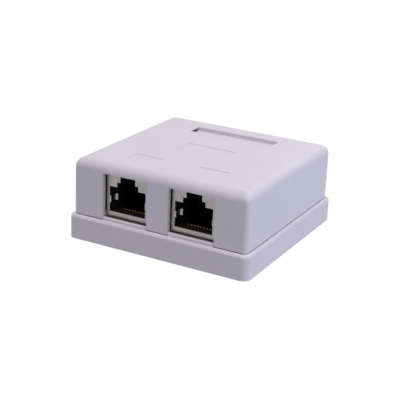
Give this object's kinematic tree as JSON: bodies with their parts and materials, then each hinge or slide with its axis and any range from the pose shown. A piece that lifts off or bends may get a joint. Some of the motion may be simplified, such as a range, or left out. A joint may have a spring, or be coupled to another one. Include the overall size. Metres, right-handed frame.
{
  "type": "ethernet wall socket",
  "caption": "White surface-mount network outlet box with side-by-side shielded ports in front, a pull-off cover, a label pocket on top and punch-down blocks inside.",
  "frame": {"origin": "middle of the back face, which lies against the wall", "axes": "+Z away from the wall, -Y towards the plugs, +X to the right when the ports are looked at"},
  "size_m": [0.06, 0.06, 0.025],
  "materials": {
    "case_plastic": "moulded white ABS, fine matt",
    "label_plastic": "moulded white ABS, fine matt",
    "tinned_steel": "tin-plated sheet, dull",
    "jack_plastic": "black glass-filled moulding",
    "gold_contact": "gold-plated spring wire",
    "block_plastic": "moulded polycarbonate",
    "blade_bronze": "tinned phosphor bronze",
    "board_laminate": "green solder mask on glass laminate",
    "screw_zinc": "zinc-plated steel"
  },
  "bodies": {
    "base_unit": {"base": "case_plastic", "circuit_board": "board_laminate", "board_screws": "screw_zinc", "screen_bar": "tinned_steel", "left_jack_housing": "jack_plastic", "left_contact_carrier": "jack_plastic", "left_jack_shield": "tinned_steel", "left_contact_1": "gold_contact", "left_contact_2": "gold_contact", "left_contact_3": "gold_contact", "left_contact_4": "gold_contact", "left_contact_5": "gold_contact", "left_contact_6": "gold_contact", "left_contact_7": "gold_contact", "left_contact_8": "gold_contact", "left_front_idc_block": "block_plastic", "left_front_idc_blade_1": "blade_bronze", "left_front_idc_blade_2": "blade_bronze", "left_front_idc_blade_3": "blade_bronze", "left_front_idc_blade_4": "blade_bronze", "left_rear_idc_block": "block_plastic", "left_rear_idc_blade_1": "blade_bronze", "left_rear_idc_blade_2": "blade_bronze", "left_rear_idc_blade_3": "blade_bronze", "left_rear_idc_blade_4": "blade_bronze", "right_jack_housing": "jack_plastic", "right_contact_carrier": "jack_plastic", "right_jack_shield": "tinned_steel", "right_contact_1": "gold_contact", "right_contact_2": "gold_contact", "right_contact_3": "gold_contact", "right_contact_4": "gold_contact", "right_contact_5": "gold_contact", "right_contact_6": "gold_contact", "right_contact_7": "gold_contact", "right_contact_8": "gold_contact", "right_front_idc_block": "block_plastic", "right_front_idc_blade_1": "blade_bronze", "right_front_idc_blade_2": "blade_bronze", "right_front_idc_blade_3": "blade_bronze", "right_front_idc_blade_4": "blade_bronze", "right_rear_idc_block": "block_plastic", "right_rear_idc_blade_1": "blade_bronze", "right_rear_idc_blade_2": "blade_bronze", "right_rear_idc_blade_3": "blade_bronze", "right_rear_idc_blade_4": "blade_bronze"},
    "cover_unit": {"cover": "case_plastic"},
    "label_unit": {"label_plate": "label_plastic"}
  },
  "joints": [
    {"name": "cover_lift", "type": "slide", "parent": "base_unit", "child": "cover_unit", "axis": [0, 0, 1], "range_m": [0, 0.03]},
    {"name": "label_lift", "type": "slide", "parent": "cover_unit", "child": "label_unit", "axis": [0, 0, 1], "range_m": [0, 0.01]}
  ]
}
